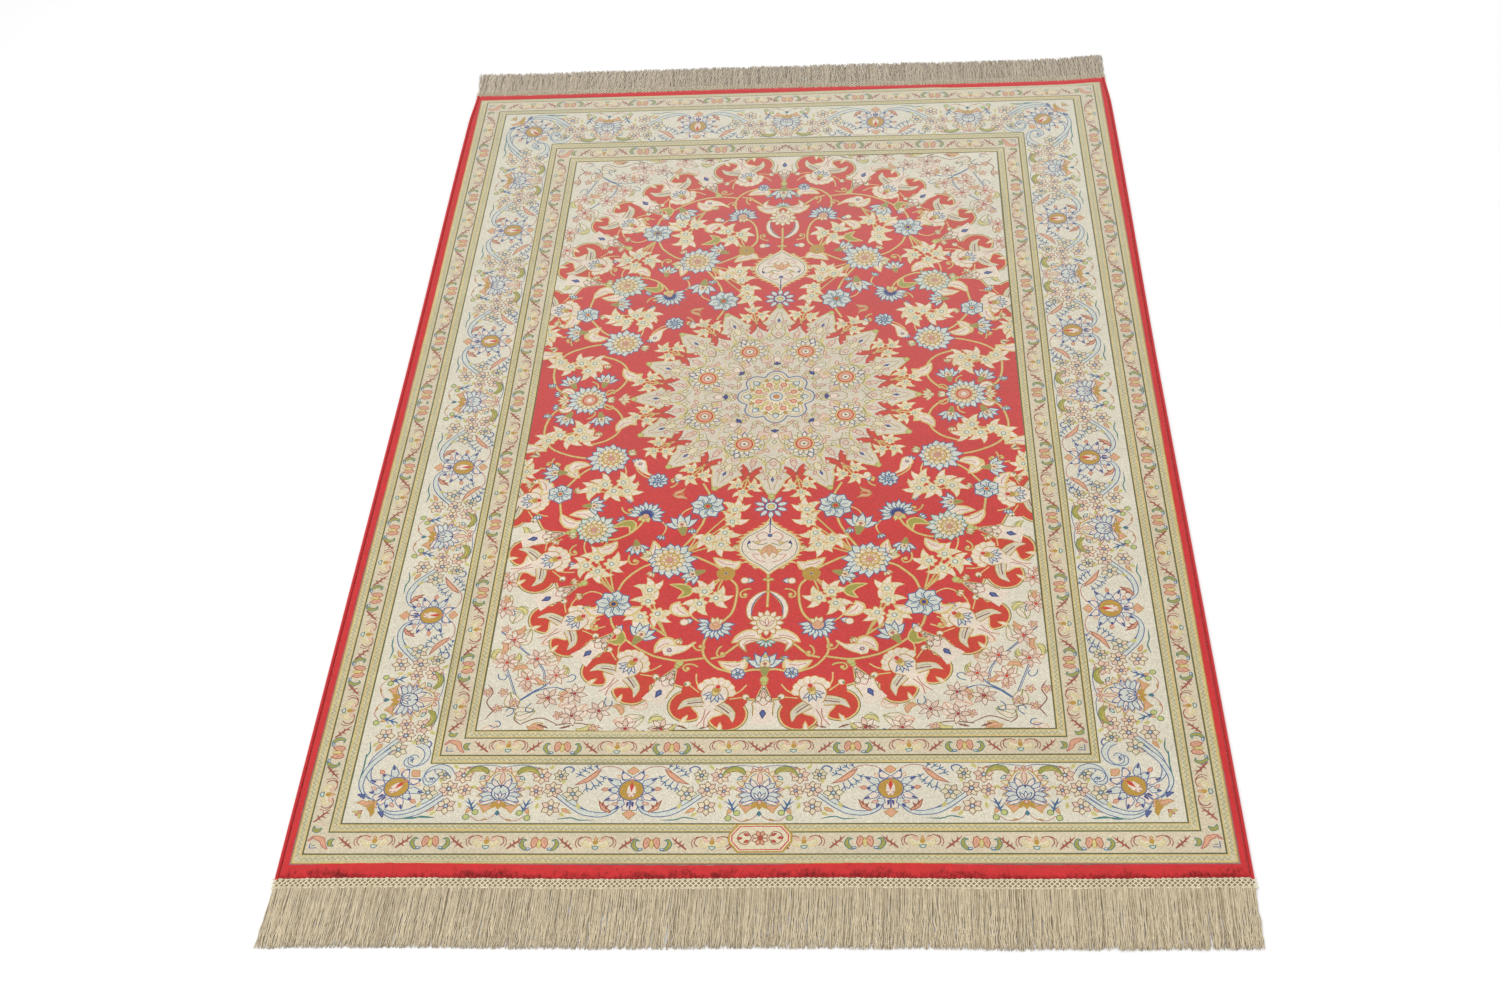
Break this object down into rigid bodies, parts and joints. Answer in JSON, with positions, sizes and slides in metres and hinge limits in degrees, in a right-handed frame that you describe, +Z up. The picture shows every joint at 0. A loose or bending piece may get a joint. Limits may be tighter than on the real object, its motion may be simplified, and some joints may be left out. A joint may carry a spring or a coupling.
{
  "type": "persian rug",
  "caption": "Flat hand-knotted rug with overcast sides, plaited headers and long fringes at both ends; lies on a floor.",
  "frame": {"origin": "middle of the overall length and width, fringes included, on the surface the rug lies on", "axes": "+X across the rug to its right, +Y along the rug to its back end, +Z up out of the pile"},
  "size_m": [1.0174, 1.662, 0.0048],
  "materials": {
    "pile": "short cut silk pile with a soft sheen",
    "overcast": "wrapped silk yarn",
    "warp_silk": "loose twisted yarn"
  },
  "bodies": {
    "root": {"rug_cloth": "pile", "selvedge_left": "overcast", "selvedge_right": "overcast", "fringe_front": "warp_silk", "fringe_back": "warp_silk"}
  },
  "joints": []
}
